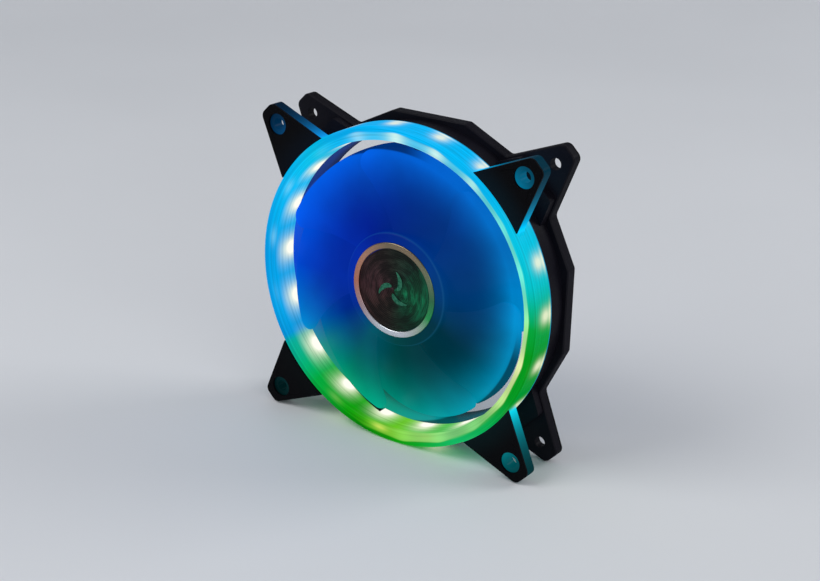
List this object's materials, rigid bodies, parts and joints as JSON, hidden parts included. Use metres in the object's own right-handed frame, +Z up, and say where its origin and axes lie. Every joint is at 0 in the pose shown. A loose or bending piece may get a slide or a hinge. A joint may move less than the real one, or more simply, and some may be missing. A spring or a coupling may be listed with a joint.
{
  "type": "case fan",
  "caption": "Square axial cooling fan with a lit ring around its mouth, translucent swept blades, rubber corner pads and a hub badge.",
  "frame": {"origin": "middle of the fan: on the rotor axis, halfway between the front and the rear pad faces", "axes": "+Y along the rotor axis in the direction of the air flow, so the lit front faces -Y; +Z up as the fan stands, +X to the right seen from the front"},
  "size_m": [0.12, 0.025, 0.12],
  "materials": {
    "frame_black": "satin black moulded plastic with a fine grain",
    "diffuser_lit": "frosted clear plastic, lit from behind by coloured lamps",
    "circuit_board": "white solder mask",
    "label": "plain paper label",
    "impeller_translucent": "frosted translucent plastic that carries the ring's light",
    "bright_trim": "bright metallic",
    "spun_badge": "dark, brushed round in circles",
    "steel": "drawn steel",
    "magnet": "bonded ferrite",
    "rubber_black": "black soft rubber",
    "white_plastic": "natural nylon",
    "bronze": "sintered and turned bronze",
    "lamination_steel": "stacked laminations",
    "winding_copper": "enamelled copper wire",
    "chip_black": "moulded package",
    "capacitor": "fired ceramic",
    "wire_sheath": "black insulated wire",
    "led_lens": "clear resin over a lit chip"
  },
  "bodies": {
    "frame": {"rear_frame": "frame_black", "front_diffuser": "diffuser_lit", "led_board": "circuit_board", "rear_label": "label", "sleeve_bearing": "bronze", "bearing_tube": "bronze", "thrust_plate": "white_plastic", "stator_core": "lamination_steel", "insulator_front": "white_plastic", "insulator_rear": "white_plastic", "winding_pins": "bronze", "driver_board": "circuit_board", "hall_sensor": "chip_black", "driver_chip": "chip_black", "board_capacitors": "capacitor", "lead_connector": "white_plastic", "led_lead": "wire_sheath", "front_pad_1": "rubber_black", "front_pad_2": "rubber_black", "front_pad_3": "rubber_black", "front_pad_4": "rubber_black", "rear_pad_1": "rubber_black", "rear_pad_2": "rubber_black", "rear_pad_3": "rubber_black", "rear_pad_4": "rubber_black", "coil_1": "winding_copper", "coil_2": "winding_copper", "coil_3": "winding_copper", "coil_4": "winding_copper", "led_01": "led_lens", "led_02": "led_lens", "led_03": "led_lens", "led_04": "led_lens", "led_05": "led_lens", "led_06": "led_lens", "led_07": "led_lens", "led_08": "led_lens", "led_09": "led_lens", "led_10": "led_lens", "led_11": "led_lens", "led_12": "led_lens", "led_13": "led_lens", "led_14": "led_lens", "led_15": "led_lens", "led_16": "led_lens", "led_17": "led_lens", "led_18": "led_lens"},
    "rotor": {"impeller": "impeller_translucent", "hub_trim_ring": "bright_trim", "hub_badge": "spun_badge", "rotor_cup": "steel", "magnet_ring": "magnet", "shaft": "steel", "shaft_clip": "white_plastic", "oil_washer": "rubber_black"}
  },
  "joints": [
    {"name": "rotor_spin", "type": "hinge", "parent": "frame", "child": "rotor", "pos_m": [0, 0, 0], "axis": [0, -1, 0], "continuous": true}
  ]
}
